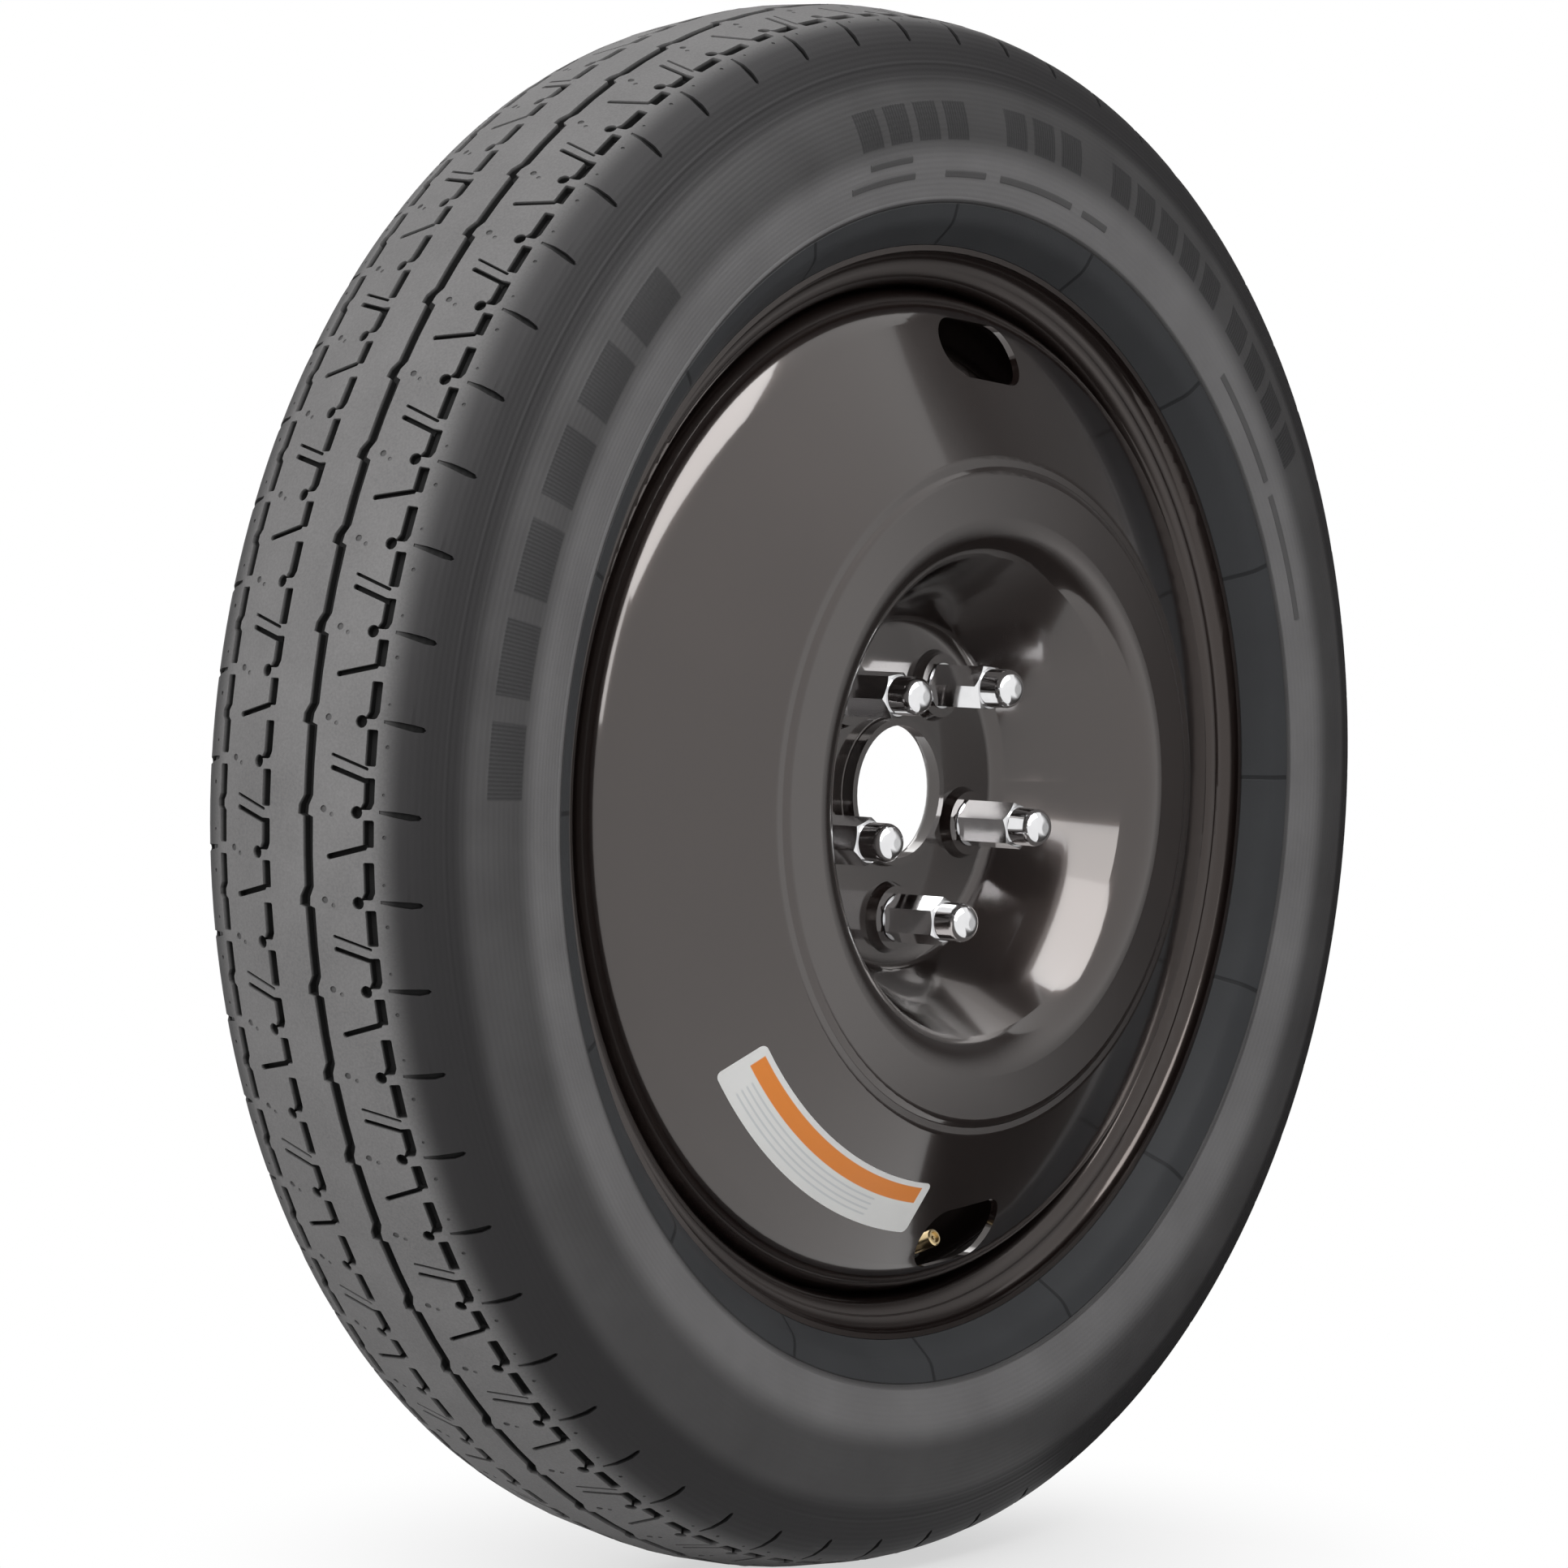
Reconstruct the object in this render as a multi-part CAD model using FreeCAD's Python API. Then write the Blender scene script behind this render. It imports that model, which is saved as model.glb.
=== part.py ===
import FreeCAD, Part
import math
import os
from FreeCAD import Vector

# Compact spare wheel. Sizes are in millimetres and degrees.
# The wheel turns about Y and faces -Y. The hub's mounting face lies at y = 0, and +Z is up.
# s is a distance outboard of the hub face, t a distance outboard of the rim's middle plane.

# Rim, rolled from sheet
wheel_offset = 37.5
rim_width = 101.6
bead_seat_diameter = 462.0
flange_height = 15.0
flange_reach = 10.2
flange_bend = 8.0
heel_bend = 6.5
seat_width = 24.0
seat_taper = 5.0
well_depth = 19.4
well_wall_run = 8.0
well_bend = 6.0
rim_sheet = 2.5

# Disc, pressed from sheet
disc_sheet = 3.2
bore_diameter = 60.1
collar_height = 9.5
collar_bend = 2.5
hub_floor_diameter = 160.0
floor_bend = 10.0
crest_height = 64.0
crest_diameter = 228.0
crest_bend = 17.0
step_diameter = 289.0
step_run = 2.6
step_height = 1.8
step_bend = 2.5
crown_slope = 0.065
ledge_width = 4.2
shoulder_height = 18.0
shoulder_bend = 28.0
disc_fit = 0.1
weld_leg = 3.5
weld_crown = 0.4
weld_gap = 0.1
weld_count = 4
weld_arc = 58.0
weld_room = 7.5

# Stud holes and hand holes in the disc
stud_count = 5
stud_circle = 114.3
stud_hole_diameter = 14.5
stud_land = 3.0
seat_angle = 60.0
boss_height = 8.0
boss_top_diameter = 29.0
boss_base_diameter = 34.0
hand_hole_angles = (82.0, 273.5)
hand_hole_circle = 400.0
hand_hole_length = 56.0
hand_hole_width = 27.0
cut_over = 1.0

# Closed-end wheel nuts
nut_length = 48.0
nut_hex = 19.0
nut_cap_length = 15.5
nut_cap_diameter = 17.5
nut_dome = 6.5
nut_chamfer = 1.6
nut_chamfer_rise = 0.8
nut_thread_diameter = 10.4
nut_thread_depth = 30.0
nut_gap = 0.15
nut_lead = 0.4
nut_standoff = 0.6

# Sticker on the disc
label_inner_diameter = 346.5
label_width = 22.8
label_start = -145.4
label_arc = 46.8
label_corner = 3.0
label_thickness = 0.2
label_gap = 0.05

# Tyre
tyre_diameter = 708.0
section_width = 155.0
widest_diameter = 592.0
sidewall_curve = 100.0
sidewall_bow = 2.1
guard_diameter = 532.0
guard_width = 148.6
guard_ridge = 0.8
bead_width = 18.0
bead_fit = 0.2
tread_width = 131.0
tread_edge_drop = 12.2
shoulder_curve = 22.0
wall_thickness = 5.5
crown_thickness = 9.0

# Tread pattern
pitch_count = 58
first_pitch = -2.0
middle_rib_width = 24.0
groove_spread = 82.4
groove_width = 3.8
groove_depth = 4.5
groove_drop = 5.2
sipe_width = 1.6
sipe_length = 20.0
sipe_depth = 3.5
sipe_slant = 14.0
dash_length = 14.0
dash_gap = 5.0
long_dash_length = 33.0
slot_length = 19.0
slot_width = 4.5
slot_depth = 3.0
slot_lean = 36.0
slot_inset = 4.5
slot_sink = 1.8

# Snap-in valve in the rim's well wall
valve_angle = -87.0
valve_hole_diameter = 11.5
valve_length = 40.0
valve_inner_length = 8.0
valve_bulb_diameter = 14.4
valve_bulb_length = 2.0
valve_nose_diameter = 9.1
valve_collar_diameter = 14.0
valve_collar_length = 3.0
valve_rubber_length = 26.0
valve_rubber_top_diameter = 10.4
valve_rubber_bend = 1.0
valve_fit = 0.2
stem_diameter = 6.6
stem_thread_diameter = 7.8
stem_chamfer = 0.6
stem_bond = 0.05

# Valve core
core_thread_diameter = 5.2
core_depth = 18.0
core_lower_diameter = 4.2
core_lower_length = 12.0
air_hole_diameter = 3.0
core_fit = 0.05
plug_length = 5.0
plug_recess = 1.2
barrel_diameter = 3.5
barrel_wall = 0.5
barrel_length = 12.5
gasket_length = 2.4
pin_diameter = 1.2
pin_clearance = 0.35
pin_recess = 0.5
cup_diameter = 3.2
cup_length = 2.0
cup_seal_thickness = 0.7
cup_seal_gap = 0.05
collar_drop = 1.0
collar_length = 0.6
collar_clearance = 0.3
spring_wire = 0.22
spring_turns = 5
spring_gap = 0.05

OUTBOARD = Vector(0, -1, 0)
CENTRE = Vector(0, 0, 0)


def at(s, r):
    """Point of the half section at a distance s outboard and a radius r."""
    return Vector(r, -s, 0)


def line(a, b):
    return Part.LineSegment(a, b).toShape()


def rounded_path(corners):
    """Edges of an open path through (s, r, bend radius) corners."""
    points = [at(s, r) for s, r, bend in corners]
    edges = []
    start = points[0]
    for i in range(1, len(points) - 1):
        bend = corners[i][2]
        if bend == 0:
            edges.append(line(start, points[i]))
            start = points[i]
            continue
        back = points[i - 1].sub(points[i]).normalize()
        ahead = points[i + 1].sub(points[i]).normalize()
        half = back.getAngle(ahead) / 2
        reach = bend / math.tan(half)
        inward = back.add(ahead).normalize()
        middle = points[i] + inward * (bend / math.sin(half) - bend)
        arc_start = points[i] + back * reach
        arc_end = points[i] + ahead * reach
        edges.append(line(start, arc_start))
        edges.append(Part.Arc(arc_start, middle, arc_end).toShape())
        start = arc_end
    edges.append(line(start, points[-1]))
    return edges


def path_ends(corners):
    return at(*corners[0][:2]), at(*corners[-1][:2])


def face_of(edges):
    return Part.Face(Part.Wire(Part.__sortEdges__(edges)))


def closed_section(corners):
    """Face bounded by a path and the straight line from its end back to its start."""
    first, last = path_ends(corners)
    return face_of(rounded_path(corners) + [line(last, first)])


def beside(corners, distance):
    """The same path moved sideways, with its bends made tighter or wider to match."""
    moved = []
    for i, (s, r, bend) in enumerate(corners):
        before = corners[max(i, 1) - 1]
        here = corners[max(i, 1)]
        after = corners[min(i + 1, len(corners) - 1)]
        last = corners[min(i, len(corners) - 2)]
        ds1, dr1 = here[0] - before[0], here[1] - before[1]
        ds2, dr2 = after[0] - last[0], after[1] - last[1]
        n1 = Vector(-dr1, ds1, 0).normalize()
        n2 = Vector(-dr2, ds2, 0).normalize()
        shift = n1.add(n2) * (distance / (1 + n1.dot(n2)))
        turn = ds1 * dr2 - dr1 * ds2
        new_bend = bend - distance * math.copysign(1, turn) if bend else 0
        moved.append((s + shift.x, r + shift.y, new_bend))
    return moved


def sheet_section(corners, thickness):
    """Section of pressed sheet whose middle runs through the corners."""
    left = beside(corners, thickness / 2)
    right = beside(corners, -thickness / 2)
    left_start, left_end = path_ends(left)
    right_start, right_end = path_ends(right)
    ends = [line(left_start, right_start), line(left_end, right_end)]
    return face_of(rounded_path(left) + rounded_path(right) + ends)


def revolved(face, arc=360.0):
    return face.revolve(CENTRE, OUTBOARD, arc)


def turned(shape, angle):
    """Copy turned about the wheel's axis; 0 is +X and 90 is +Z."""
    copy = shape.copy()
    copy.rotate(CENTRE, OUTBOARD, angle)
    return copy


def around(shape, count, first=0.0):
    return [turned(shape, first + 360.0 * i / count) for i in range(count)]


def rod(s0, s1, r):
    """Round bar along the axis between two distances outboard."""
    return Part.makeCylinder(r, s1 - s0, at(s0, 0), OUTBOARD)


def write(name, shape):
    shape.exportStep("parts/" + name + ".step")


# Rim

rim_half = rim_width / 2
bead_seat_r = bead_seat_diameter / 2
flange_r = bead_seat_r + flange_height
taper_slope = math.tan(math.radians(seat_taper))
seat_middle_r = bead_seat_r - rim_sheet / 2
flange_middle_t = rim_half + rim_sheet / 2
flange_tip_t = rim_half + flange_reach
seat_end_t = rim_half - seat_width
seat_end_r = seat_middle_r - (flange_middle_t - seat_end_t) * taper_slope
well_end_t = seat_end_t - well_wall_run
well_middle_r = seat_end_r - well_depth


def seat_outside_r(t):
    """Radius of the bead seat on the tyre's side."""
    rise = rim_sheet / 2 / math.cos(math.radians(seat_taper))
    return seat_middle_r - (flange_middle_t - t) * taper_slope + rise


def seat_inside_r(t):
    """Radius of the bead seat on the disc's side."""
    rise = rim_sheet / 2 / math.cos(math.radians(seat_taper))
    return seat_middle_r - (flange_middle_t - t) * taper_slope - rise


def half_rim(side):
    """Middle line of one half of the rim, from the flange's tip to the well; side is 1 outboard."""
    corners = [
        (flange_tip_t, flange_r - rim_sheet / 2, 0),
        (flange_middle_t, flange_r - rim_sheet / 2, flange_bend),
        (flange_middle_t, seat_middle_r, heel_bend),
        (seat_end_t, seat_end_r, well_bend),
        (well_end_t, well_middle_r, well_bend),
    ]
    return [(side * t - wheel_offset, r, bend) for t, r, bend in corners]


rim = revolved(sheet_section(half_rim(1) + half_rim(-1)[::-1], rim_sheet))

# The valve stands square to the outboard wall of the well
valve_tilt = math.degrees(math.atan2(well_wall_run, well_depth))
valve_hole_s = (seat_end_t + well_end_t) / 2 - wheel_offset
valve_hole_r = (seat_end_r + well_middle_r) / 2


def at_valve(shape):
    """Copy of a shape built along the wheel's axis, moved to the valve's place and axis."""
    copy = shape.copy()
    copy.rotate(CENTRE, Vector(0, 0, 1), -valve_tilt)
    copy.translate(at(valve_hole_s, valve_hole_r))
    return turned(copy, valve_angle)


valve_hole = rod(-2 * rim_sheet, 2 * rim_sheet, valve_hole_diameter / 2)
rim = rim.cut(at_valve(valve_hole))

# Disc

bore_r = bore_diameter / 2
disc_half = disc_sheet / 2
disc_end_t = seat_end_t + weld_room
disc_end_s = disc_end_t - wheel_offset
disc_flange_r = seat_inside_r(disc_end_t) - disc_fit - disc_half
crest_r = crest_diameter / 2
step_r = step_diameter / 2
step_top_s = crest_height - (step_r - crest_r) * crown_slope
ledge_s = step_top_s - step_height
ledge_r = step_r + step_run
brow_s = ledge_s - ledge_width * crown_slope
brow_r = ledge_r + ledge_width
face_slope = (shoulder_height - brow_s) / (disc_flange_r - brow_r)

disc_line = [
    (collar_height, bore_r + disc_half, 0),
    (disc_half, bore_r + disc_half, collar_bend),
    (disc_half, hub_floor_diameter / 2, floor_bend),
    (crest_height, crest_r, crest_bend),
    (step_top_s, step_r, step_bend),
    (ledge_s, ledge_r, step_bend),
    (brow_s, brow_r, step_bend),
    (shoulder_height, disc_flange_r, shoulder_bend),
    (disc_end_s, disc_flange_r, 0),
]
disc = revolved(sheet_section(disc_line, disc_sheet))

# Stud holes stand in raised bosses, with a cone seat above a short plain land
seat_slope = math.tan(math.radians(seat_angle / 2))
stud_hole_r = stud_hole_diameter / 2
stud_circle_r = stud_circle / 2
boss_root = disc_half
first_stud = -90.0


def cone_seat_r(s):
    return stud_hole_r + (s - stud_land) * seat_slope


boss = Part.makeCone(boss_base_diameter / 2, boss_top_diameter / 2, boss_height - boss_root,
                     at(boss_root, stud_circle_r), OUTBOARD)
seat_top = boss_height + cut_over
seat_cone = Part.makeCone(stud_hole_r, cone_seat_r(seat_top), seat_top - stud_land,
                          at(stud_land, stud_circle_r), OUTBOARD)
land_hole = rod(-cut_over, stud_land, stud_hole_r)
land_hole.translate(Vector(stud_circle_r, 0, 0))
disc = disc.fuse(around(boss, stud_count, first_stud)).removeSplitter()
disc = disc.cut(around(seat_cone, stud_count, first_stud) + around(land_hole, stud_count, first_stud))

# Hand holes are round-ended slots along the rim
hole_end_r = hand_hole_width / 2
hole_straight = hand_hole_length - hand_hole_width
hole_low = disc_end_s
hole_high = crest_height + disc_sheet
hole_bar = rod(hole_low, hole_high, hole_end_r)
hole_bar.translate(Vector(hand_hole_circle / 2, 0, -hole_straight / 2))
hole_middle = Part.makeBox(hand_hole_width, hole_high - hole_low, hole_straight,
                           Vector(hand_hole_circle / 2 - hole_end_r, -hole_high, -hole_straight / 2))
hole_other = hole_bar.copy()
hole_other.translate(Vector(0, 0, hole_straight))
hand_hole = hole_bar.fuse([hole_middle, hole_other]).removeSplitter()
disc = disc.cut([turned(hand_hole, angle) for angle in hand_hole_angles])

# Weld beads lie behind the disc's edge, in the corner under the bead seat
weld_top = at(disc_end_s - weld_gap, seat_inside_r(disc_end_t - weld_gap) - weld_gap)
weld_back_t = disc_end_t - weld_gap - weld_leg
weld_back = at(weld_back_t - wheel_offset, seat_inside_r(weld_back_t) - weld_gap)
weld_low = weld_top - Vector(weld_leg, 0, 0)
weld_bulge = (weld_back + weld_low) * 0.5 + Vector(-1, 1, 0).normalize() * weld_crown
weld_section = face_of([line(weld_low, weld_top), line(weld_top, weld_back),
                        Part.Arc(weld_back, weld_bulge, weld_low).toShape()])
weld = revolved(weld_section, weld_arc)
first_weld = 180.0 / weld_count - weld_arc / 2
disc_welds = Part.Compound(around(weld, weld_count, first_weld))

# Wheel nuts

nut_start = stud_land + nut_lead
nut_end = nut_start + nut_length
hex_start = boss_height + nut_standoff
hex_end = nut_end - nut_cap_length
hex_corner_r = nut_hex / math.sqrt(3)
cap_r = nut_cap_diameter / 2
chamfer_r = hex_corner_r - nut_chamfer
thread_r = nut_thread_diameter / 2


def nut_cone_r(s):
    return cone_seat_r(s) - nut_gap / math.cos(math.radians(seat_angle / 2))


hex_corner = at(hex_start, hex_corner_r)
hex_points = [turned(Part.Vertex(hex_corner), 60.0 * k).Point for k in range(7)]
hex_bar = Part.Face(Part.makePolygon(hex_points)).extrude(OUTBOARD * (hex_end - hex_start))
hex_envelope = revolved(closed_section([
    (hex_start, 0, 0),
    (hex_start, chamfer_r, 0),
    (hex_start + nut_chamfer_rise, hex_corner_r, 0),
    (hex_end - nut_chamfer_rise, hex_corner_r, 0),
    (hex_end, chamfer_r, 0),
    (hex_end, 0, 0),
]))
nut_core = revolved(closed_section([
    (nut_start, 0, 0),
    (nut_start, nut_cone_r(nut_start), 0),
    (hex_start, nut_cone_r(hex_start), 0),
    (hex_start, cap_r, 0),
    (nut_end, cap_r, nut_dome),
    (nut_end, 0, 0),
]))
thread_hole = rod(nut_start - cut_over, nut_start + nut_thread_depth, thread_r)
nut = nut_core.fuse(hex_bar.common(hex_envelope)).cut(thread_hole).removeSplitter()
nut.translate(Vector(stud_circle_r, 0, 0))
wheel_nuts = Part.Compound(around(nut, stud_count, first_stud))

# Sticker, laid on the disc's sloping face

label_inner_r = label_inner_diameter / 2
label_outer_r = label_inner_r + label_width


def face_s(r):
    """Height of the disc's sloping face, at the middle of its sheet."""
    return brow_s + (r - brow_r) * face_slope


label_line = [
    (face_s(label_outer_r), label_outer_r, 0),
    (face_s(label_inner_r), label_inner_r, 0),
]
label_lift = disc_half + label_gap + label_thickness / 2
label = revolved(sheet_section(beside(label_line, label_lift), label_thickness), label_arc)
corner_edges = [edge for edge in label.Edges if edge.Length < 2 * label_thickness]
label = turned(label.makeFillet(label_corner, corner_edges), label_start)

# Tyre

tyre_r = tyre_diameter / 2
heel_t = rim_half - bead_fit
toe_t = rim_half - bead_width
lip_t = flange_tip_t + bead_fit
guard_t = guard_width / 2
guard_r = guard_diameter / 2
widest_r = widest_diameter / 2
edge_t = tread_width / 2
edge_r = tyre_r - tread_edge_drop
inner_groove_t = middle_rib_width / 2
outer_groove_t = groove_spread / 2
outer_groove_r = tyre_r - groove_drop
edge_slope = (edge_r - outer_groove_r) / (edge_t - outer_groove_t)
rib_slope = (outer_groove_r - tyre_r) / (outer_groove_t - inner_groove_t)
widest_t = section_width / 2 + sidewall_bow


def tread_r(t):
    """Radius of the tread's face across its width."""
    distance = abs(t)
    if distance <= inner_groove_t:
        return tyre_r
    if distance <= outer_groove_t:
        return tyre_r + (distance - inner_groove_t) * rib_slope
    return outer_groove_r + (distance - outer_groove_t) * edge_slope


def groove(t):
    """Corners of a groove round the tread, from its outboard edge to its inboard one."""
    out, back = t + groove_width / 2, t - groove_width / 2
    floor = tread_r(t) - groove_depth
    return [(out, tread_r(out), 0), (out, floor, 0), (back, floor, 0), (back, tread_r(back), 0)]


def mirrored(corners):
    return [(-t, r, bend) for t, r, bend in reversed(corners)]


side_outside = [
    (toe_t, seat_outside_r(toe_t) + bead_fit, 0),
    (heel_t, seat_outside_r(heel_t) + bead_fit, heel_bend - rim_sheet / 2),
    (heel_t, flange_r + bead_fit, flange_bend + rim_sheet / 2 + bead_fit),
    (lip_t, flange_r + bead_fit, 0),
    (guard_t, guard_r - 2 * guard_ridge, 0),
    (guard_t + guard_ridge, guard_r, 0),
    (guard_t, guard_r + 2 * guard_ridge, 0),
    (widest_t, widest_r, sidewall_curve),
    (edge_t, edge_r, shoulder_curve),
]
tread_line = [(outer_groove_t, outer_groove_r, 0)] + groove(inner_groove_t) + [
    (-inner_groove_t, tyre_r, 0),
    (-outer_groove_t, outer_groove_r, 0),
]
cavity_crown_r = tyre_r - crown_thickness
side_inside = [
    (toe_t, seat_outside_r(toe_t) + bead_fit + wall_thickness / 2, 0),
    (heel_t - wall_thickness / 2, flange_r + wall_thickness, 0),
    (guard_t - wall_thickness, guard_r + wall_thickness, 0),
    (section_width / 2 - wall_thickness, widest_r, 0),
    (edge_t - wall_thickness, edge_r - crown_thickness - shoulder_curve / 2, 0),
    (outer_groove_t, outer_groove_r - crown_thickness, 0),
]
inside_line = [(-t, r, bend) for t, r, bend in side_inside] + side_inside[::-1]
tyre_line = side_outside + tread_line + mirrored(side_outside) + inside_line
tyre = revolved(closed_section([(t - wheel_offset, r, bend) for t, r, bend in tyre_line]))


def tread_lean(t):
    """Angle at which the tread's face falls away outboard."""
    if abs(t) <= inner_groove_t:
        return 0.0
    slope = rib_slope if abs(t) <= outer_groove_t else edge_slope
    return math.copysign(math.degrees(math.atan(slope)), t)


def tread_cut(t, r, length, width, depth, lean, slant, angle):
    """Straight cut into the tread, across it, centred at t and r and at an angle round the wheel."""
    bar = Part.makeBox(2 * depth, length, width, Vector(-depth, -length / 2, -width / 2))
    bar.rotate(CENTRE, Vector(1, 0, 0), slant)
    bar.rotate(CENTRE, Vector(0, 0, 1), -lean)
    bar.translate(at(t - wheel_offset, r))
    return turned(bar, angle)


def face_cut(t, length, width, depth, slant, angle):
    return tread_cut(t, tread_r(t), length, width, depth, tread_lean(t), slant, angle)


# One groove runs all round; the other three are rows of dashes, two to a pitch or one long one
# Each pitch also has a sipe in both wide ribs and a slot in both shoulders
# The inboard half of the pattern lies half a pitch behind the outboard half
pitch_angle = 360.0 / pitch_count
slot_t = edge_t - slot_inset
slot_r = tread_r(slot_t) - slot_sink
outboard_sipe_t = outer_groove_t - sipe_length / 2
inboard_sipe_t = -inner_groove_t - sipe_length / 2


def dash_pair(t, angle):
    """Two dashes of a broken groove, one each side of a gap."""
    turn = math.degrees((dash_gap + dash_length) / 2 / tread_r(t))
    places = (angle - turn, angle + turn)
    return [face_cut(t, groove_width, dash_length, groove_depth, 0.0, place) for place in places]


def slot(side, angle):
    return tread_cut(side * slot_t, slot_r, slot_length, slot_width, slot_depth, side * slot_lean, 0.0, angle)


def sipe(t, slant, angle):
    return face_cut(t, sipe_length, sipe_width, sipe_depth, slant, angle)


tread_cuts = []
for pitch in range(pitch_count):
    angle = first_pitch + pitch * pitch_angle
    half_on = angle + pitch_angle / 2
    slant = sipe_slant if pitch % 2 else -sipe_slant
    tread_cuts += [slot(1, angle), slot(-1, half_on)]
    tread_cuts += [sipe(outboard_sipe_t, slant, half_on), sipe(inboard_sipe_t, slant, angle)]
    tread_cuts += dash_pair(outer_groove_t, angle) + dash_pair(-inner_groove_t, half_on)
    tread_cuts.append(face_cut(-outer_groove_t, groove_width, long_dash_length, groove_depth, 0.0, angle))
tyre = tyre.cut(tread_cuts)

# Valve: rubber body snapped into the rim, with a brass tube moulded in it
# Distances along the valve are measured outwards from the middle of the rim's sheet

stem_r = stem_diameter / 2
rubber_bore_r = stem_r + stem_bond
groove_half = rim_sheet / 2 + valve_fit
groove_r = valve_hole_diameter / 2 - valve_fit
collar_r = valve_collar_diameter / 2
bulb_r = valve_bulb_diameter / 2
valve_rubber = revolved(closed_section([
    (-valve_inner_length, rubber_bore_r, 0),
    (-valve_inner_length, valve_nose_diameter / 2, 0),
    (-groove_half - valve_bulb_length, bulb_r, 0),
    (-groove_half, bulb_r, 0),
    (-groove_half, groove_r, 0),
    (groove_half, groove_r, 0),
    (groove_half, collar_r, 0),
    (groove_half + valve_collar_length, collar_r, valve_collar_length),
    (valve_rubber_length, valve_rubber_top_diameter / 2, valve_rubber_bend),
    (valve_rubber_length, rubber_bore_r, 0),
]))

core_r = core_thread_diameter / 2
core_floor = valve_length - core_depth
lower_r = core_lower_diameter / 2
air_hole_r = air_hole_diameter / 2
thread_start = valve_rubber_length + stem_bond
thread_outer_r = stem_thread_diameter / 2
valve_stem = revolved(closed_section([
    (-valve_inner_length, air_hole_r, 0),
    (-valve_inner_length, stem_r, 0),
    (thread_start, stem_r, 0),
    (thread_start, thread_outer_r, 0),
    (valve_length - stem_chamfer, thread_outer_r, 0),
    (valve_length, thread_outer_r - stem_chamfer, 0),
    (valve_length, core_r, 0),
    (core_floor, core_r, 0),
    (core_floor, lower_r, 0),
    (core_floor - core_lower_length, lower_r, 0),
    (core_floor - core_lower_length, air_hole_r, 0),
]))

# Valve core: plug, barrel, gasket, pin with its cup and collar, cup seal and spring
pin_r = pin_diameter / 2
pin_hole_r = pin_r + pin_clearance
plug_top = valve_length - plug_recess
plug_low = plug_top - plug_length
core_plug = rod(plug_low, plug_top, core_r - core_fit).cut(rod(plug_low, plug_top, pin_hole_r))

barrel_low = plug_low - barrel_length
barrel_r = barrel_diameter / 2
barrel_bore_r = barrel_r - barrel_wall
barrel_floor = barrel_low + barrel_wall
core_barrel = rod(barrel_low, plug_low, barrel_r).cut([rod(barrel_low, plug_low, pin_hole_r),
                                                       rod(barrel_floor, plug_low, barrel_bore_r)])
gasket_low = core_floor + core_fit
gasket_high = gasket_low + gasket_length
gasket_hole = rod(gasket_low, gasket_high, barrel_r + core_fit)
core_gasket = rod(gasket_low, gasket_high, core_r - core_fit).cut(gasket_hole)

cup_r = cup_diameter / 2
seal_high = barrel_low - cup_seal_gap
cup_high = seal_high - cup_seal_thickness
cup_low = cup_high - cup_length
collar_high = plug_low - collar_drop
collar_low = collar_high - collar_length
core_pin = rod(cup_low, valve_length - pin_recess, pin_r).fuse([
    rod(cup_low, cup_high, cup_r),
    rod(collar_low, collar_high, barrel_bore_r - collar_clearance),
]).removeSplitter()
core_cup_seal = rod(cup_high, seal_high, cup_r).cut(rod(cup_high, seal_high, pin_r + core_fit))

spring_low = barrel_floor + spring_gap
spring_high = collar_low - spring_gap
spring_r = (pin_r + barrel_bore_r) / 2
spring_rise = spring_high - spring_low - spring_wire
helix = Part.Wire(Part.makeHelix(spring_rise / spring_turns, spring_rise, spring_r).Edges)
wire_half = spring_wire / 2
wire_corners = [Vector(spring_r + x * wire_half, 0, z * wire_half)
                for x, z in ((-1, -1), (1, -1), (1, 1), (-1, 1), (-1, -1))]
core_spring = helix.makePipeShell([Part.makePolygon(wire_corners)], True, True)
core_spring.rotate(CENTRE, Vector(1, 0, 0), 90)
core_spring.translate(at(spring_low + wire_half, 0))

os.makedirs("parts", exist_ok=True)
wheel_pieces = {
    "tyre": tyre,
    "rim": rim,
    "disc": disc,
    "disc_welds": disc_welds,
    "wheel_nuts": wheel_nuts,
    "label": label,
}
valve_pieces = {
    "valve_rubber": valve_rubber,
    "valve_stem": valve_stem,
    "core_plug": core_plug,
    "core_barrel": core_barrel,
    "core_gasket": core_gasket,
    "core_pin": core_pin,
    "core_cup_seal": core_cup_seal,
    "core_spring": core_spring,
}
for name, shape in wheel_pieces.items():
    write(name, shape)
for name, shape in valve_pieces.items():
    write(name, at_valve(shape))
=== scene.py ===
import math

import bmesh
import bpy
from mathutils import Matrix, Vector
from mathutils.geometry import delaunay_2d_cdt


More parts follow.
